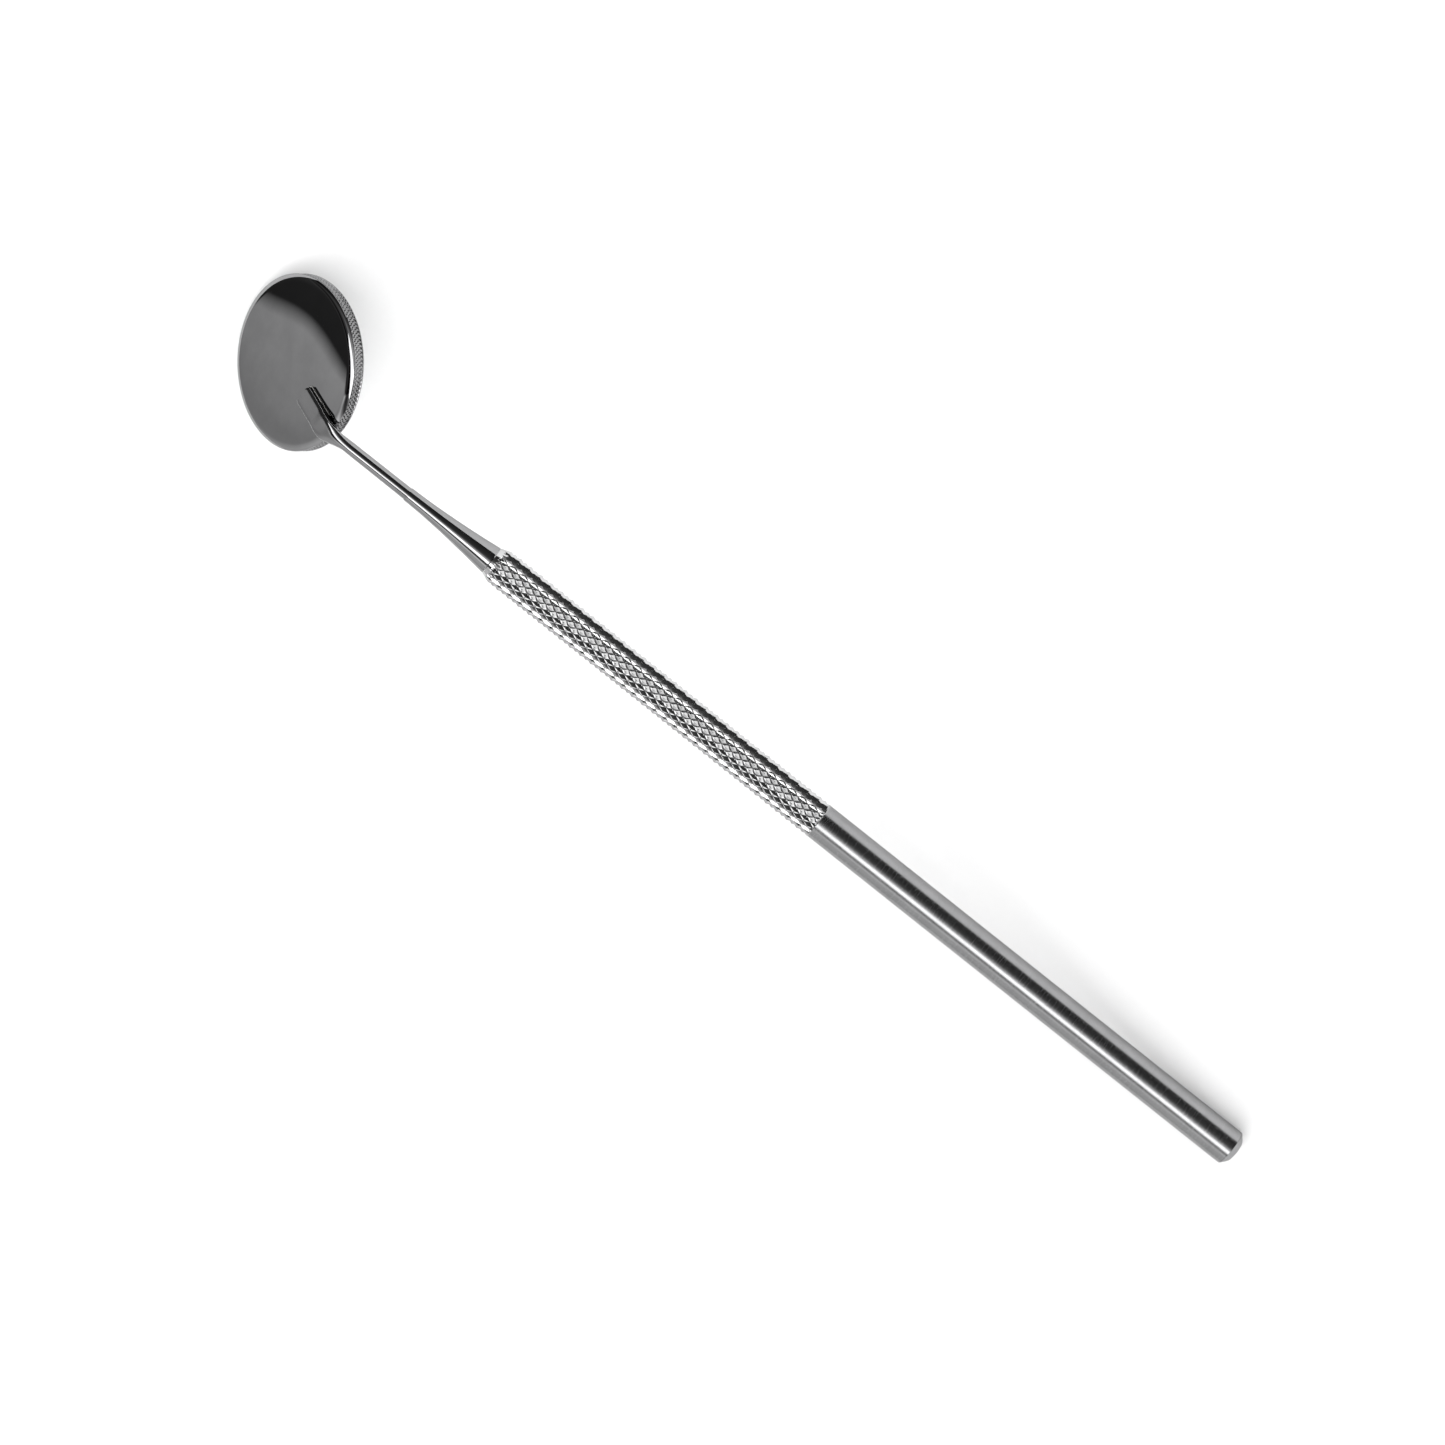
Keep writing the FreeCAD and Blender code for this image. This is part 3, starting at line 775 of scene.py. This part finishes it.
def make_cup():
    """The pressed back: a low crown, a rounded bevel all round it, and a skirt below."""
    shoulder_radius = HEAD_RADIUS - BACK_BEVEL
    crown = [(back_height(radius), radius) for radius in np.linspace(0, shoulder_radius, 48)]
    bevel_end = (BEZEL_TOP + 0.06, HEAD_RADIUS - 0.06)
    bevel = arc(crown[-1], bevel_end, -0.06, 8)
    outline = crown + bevel
    outline += [(BEZEL_TOP, HEAD_RADIUS - 0.03), (BEZEL_TOP, SKIRT_OUTER - 0.01),
                (SKIRT_BOTTOM, SKIRT_OUTER - 0.01), (SKIRT_BOTTOM, SKIRT_INNER),
                (CUP_INSIDE, SKIRT_INNER), (CUP_INSIDE, 0)]
    points, faces = turned(outline, 288)
    make_piece("back_shell", points, faces, HEAD, "mirror_head", "head_cup",
               back_steel, crease=12)


def make_bezel():
    """The rim ring with its finely knurled wall and the lip turned in over the glass."""
    columns = RIM_DIAMONDS * RIM_FINENESS
    turns = np.arange(columns) / RIM_FINENESS
    wall_top, wall_bottom = BEZEL_TOP - 0.02, HEAD_BOTTOM + LIP_ROUND
    rings = [ring(BEZEL_TOP, HEAD_RADIUS - 0.04, columns)]
    for height in np.linspace(wall_top, wall_bottom, 22):
        fade = smooth_part(wall_top - height, 0, 0.14) * smooth_part(height - wall_bottom, -0.02, 0.14)
        lean = height / RIM_DIAMOND_HEIGHT
        teeth = 1 - np.minimum(zigzag(turns + lean), zigzag(turns - lean))
        rings.append(ring(height, HEAD_RADIUS - RIM_DEPTH * teeth * fade, columns))
    for turn in np.linspace(0, math.pi / 2, 7)[1:]:
        rings.append(ring(wall_bottom - LIP_ROUND * math.sin(turn),
                          HEAD_RADIUS - LIP_ROUND * (1 - math.cos(turn)), columns))
    for height, radius in ((HEAD_BOTTOM, LIP_RADIUS + 0.42), (HEAD_BOTTOM + 0.06, LIP_RADIUS + 0.18),
                           (GLASS_BOTTOM - 0.08, LIP_RADIUS), (GLASS_BOTTOM, LIP_RADIUS),
                           (GLASS_BOTTOM, SKIRT_INNER), (SKIRT_BOTTOM, SKIRT_INNER),
                           (SKIRT_BOTTOM, SKIRT_OUTER), (BEZEL_TOP, SKIRT_OUTER)):
        rings.append(ring(height, radius, columns))
    points, faces = skin(rings, closed=True)
    make_piece("rim_ring", points, faces, HEAD, "mirror_head", "bezel_ring",
               bezel_steel)


def make_mirror():
    """The mirror glass with ground edges; its coated face looks down."""
    outline = eased([(GLASS_TOP, 0, 0), (GLASS_TOP, GLASS_RADIUS, GLASS_GROUND),
                     (GLASS_BOTTOM, GLASS_RADIUS, GLASS_GROUND), (GLASS_BOTTOM, 0, 0)])
    points, faces = turned(outline, 192)
    make_piece("mirror_disc", points, faces, HEAD, "mirror_head", "mirror_glass",
               mirror_surface())


def finish_cad_nodes():
    """Materials of the CAD nodes that stay: the threaded bush and the two hidden fillings."""
    for node, material in (("thread_socket", thread_steel), ("backing_pad", backing_card()),
                           ("edge_seal", seal_compound())):
        mesh = frame["nodes"][node].data
        mesh.materials.clear()
        mesh.materials.append(material)


# ---------------------------------------------------------------- table, light and camera

def make_table():
    """A plain pale table top that ends far outside the view."""
    half = 3.0
    mesh = bpy.data.meshes.new("table")
    mesh.from_pydata([(-half, -half, 0), (half, -half, 0), (half, half, 0), (-half, half, 0)], [],
                     [(0, 1, 2, 3)])
    mesh.materials.append(table_top())
    table = bpy.data.objects.new("table", mesh)
    bpy.context.scene.collection.objects.link(table)


# Lights: places and sizes in metres, angles in degrees off the vertical, and radiances.
SOFTBOX_HEIGHT = 0.80
SOFTBOX_LENGTH = 1.6
SOFTBOX_ANGLES = (-6.5, 11.5)
SOFTBOX_RADIANCE = 3.1
FILL_HEIGHT = 1.6
FILL_SIDE = 6.0
FILL_RADIANCE = 1.3
BANK_DISTANCE = 2.2
BANK_HEIGHT = 1.3
BANK_LENGTH = 3.0
BANK_WIDTH = 1.5
BANK_RADIANCE = 2.4


def add_area_light(name, location, length, width, brightness):
    """A rectangular light that faces the table's middle line; brightness is its radiance."""
    lamp = bpy.data.lights.new(name, "AREA")
    lamp.shape = "RECTANGLE"
    lamp.size = length
    lamp.size_y = width
    lamp.energy = brightness * math.pi * length * width
    light = bpy.data.objects.new(name, lamp)
    light.location = location
    light.rotation_euler.x = -math.atan2(location[1], location[2])
    light.visible_camera = False
    bpy.context.scene.collection.objects.link(light)
    return light


def make_lights():
    """A long softbox that the steel shows as a streak, and a fill overhead and at each side.

    The softbox's edges are angles off the vertical, counted towards the front, which is -Y.
    It lights only the steel, and the fills light only the table.
    """
    first, last = (SOFTBOX_HEIGHT * math.tan(math.radians(angle)) for angle in SOFTBOX_ANGLES)
    softbox = add_area_light("softbox", (0, -(first + last) / 2, SOFTBOX_HEIGHT),
                             SOFTBOX_LENGTH, last - first, SOFTBOX_RADIANCE)
    softbox.visible_diffuse = False
    fill = add_area_light("fill", (0, 0, FILL_HEIGHT), FILL_SIDE, FILL_SIDE, FILL_RADIANCE)
    banks = [add_area_light(name, (0, side * BANK_DISTANCE, BANK_HEIGHT),
                            BANK_LENGTH, BANK_WIDTH, BANK_RADIANCE)
             for name, side in (("front_fill", -1), ("back_fill", 1))]
    for light in [fill] + banks:
        light.visible_glossy = False


# Brightness of the studio as the steel shows it, round the X axis: degrees from straight up
# towards the front (-Y), and how bright it is there.
STUDIO = [(-180, 0.80), (-92, 0.85), (-69, 0.76), (-51, 0.86), (-43, 0.76), (-36, 0.95),
          (-28, 1.45), (-23, 0.5), (-18, 0.08), (-11, 0.10), (-5, 0.6), (12, 1.3), (18, 1.0),
          (25, 0.4), (32, 0.12), (45, 0.06), (70, 0.04), (95, 0.03), (180, 0.5)]
# Share of that brightness that is left at each compass direction: degrees from +X towards +Y.
COMPASS = [(-180, 0.7), (-120, 1.0), (-40, 1.0), (-10, 0.1), (34.05, 0.04), (34.2, 0.76), (38, 0.66),
           (41, 0.54), (45, 0.60), (55, 0.78), (75, 1.0), (130, 1.0), (180, 0.7)]


def direction_ramp(nodes, links, across, along, steps):
    """Brightness by the angle of a direction's two parts, from (degrees, brightness) steps."""
    angle = nodes.new("ShaderNodeMath")
    angle.operation = "ARCTAN2"
    links.new(across, angle.inputs[0])
    links.new(along, angle.inputs[1])
    share = nodes.new("ShaderNodeMapRange")
    share.inputs["From Min"].default_value = -math.pi
    share.inputs["From Max"].default_value = math.pi
    links.new(angle.outputs[0], share.inputs["Value"])
    ramp = nodes.new("ShaderNodeValToRGB")
    elements = ramp.color_ramp.elements
    while len(elements) < len(steps):
        elements.new(0.5)
    for element, (degrees, brightness) in zip(elements, steps):
        element.position = (degrees + 180) / 360
        element.color = (brightness, brightness, brightness, 1)
    links.new(share.outputs["Result"], ramp.inputs["Fac"])
    return ramp.outputs["Color"]


def make_studio():
    """The studio's surroundings as a world whose brightness follows the direction."""
    world = bpy.data.worlds.new("studio")
    bpy.context.scene.world = world
    world.use_nodes = True
    world.cycles_visibility.diffuse = False
    nodes, links = world.node_tree.nodes, world.node_tree.links
    direction = nodes.new("ShaderNodeTexCoord")
    parts = nodes.new("ShaderNodeSeparateXYZ")
    links.new(direction.outputs["Generated"], parts.inputs[0])
    front = nodes.new("ShaderNodeMath")
    front.operation = "MULTIPLY"
    front.inputs[1].default_value = -1
    links.new(parts.outputs["Y"], front.inputs[0])
    overhead = direction_ramp(nodes, links, front.outputs[0], parts.outputs["Z"], STUDIO)
    compass = direction_ramp(nodes, links, parts.outputs["Y"], parts.outputs["X"], COMPASS)
    product = nodes.new("ShaderNodeMix")
    product.data_type = "RGBA"
    product.blend_type = "MULTIPLY"
    product.inputs["Factor"].default_value = 1
    links.new(overhead, product.inputs["A"])
    links.new(compass, product.inputs["B"])
    links.new(product.outputs["Result"], nodes["Background"].inputs["Color"])


CAMERA_AZIMUTH = -1.5
CAMERA_ELEVATION = 55.7
CAMERA_ROLL = -137.8
CAMERA_DISTANCE = 0.786
CAMERA_LENS = 151.2
CAMERA_AIM = (2.3, 0.0, -2.0)


def make_camera():
    """Camera in front of the mirror, looking down on it and rolled so the head is top left."""
    around, over, roll = (math.radians(angle)
                          for angle in (CAMERA_AZIMUTH, CAMERA_ELEVATION, CAMERA_ROLL))
    back = Vector((math.sin(around) * math.cos(over), -math.cos(around) * math.cos(over),
                   math.sin(over)))
    level = Vector((0, 0, 1)).cross(back).normalized()
    upward = back.cross(level)
    right = level * math.cos(roll) + upward * math.sin(roll)
    up = back.cross(right)
    aim = (Vector(cad_box[0]) + Vector(cad_box[1])) / 2 + Vector(CAMERA_AIM) * MM
    camera_data = bpy.data.cameras.new("camera")
    camera_data.lens = CAMERA_LENS
    camera_data.sensor_width = 36
    camera = bpy.data.objects.new("camera", camera_data)
    turn = Matrix((right, up, back)).transposed().to_4x4()
    camera.matrix_world = Matrix.Translation(aim + back * CAMERA_DISTANCE) @ turn
    bpy.context.scene.collection.objects.link(camera)
    bpy.context.scene.camera = camera
    bpy.context.scene.view_settings.view_transform = "Standard"


make_handle()
make_butt_plug()
make_stub()
make_stem()
make_braze()
make_cup()
make_bezel()
make_mirror()
finish_cad_nodes()
make_table()
make_lights()
make_studio()
make_camera()
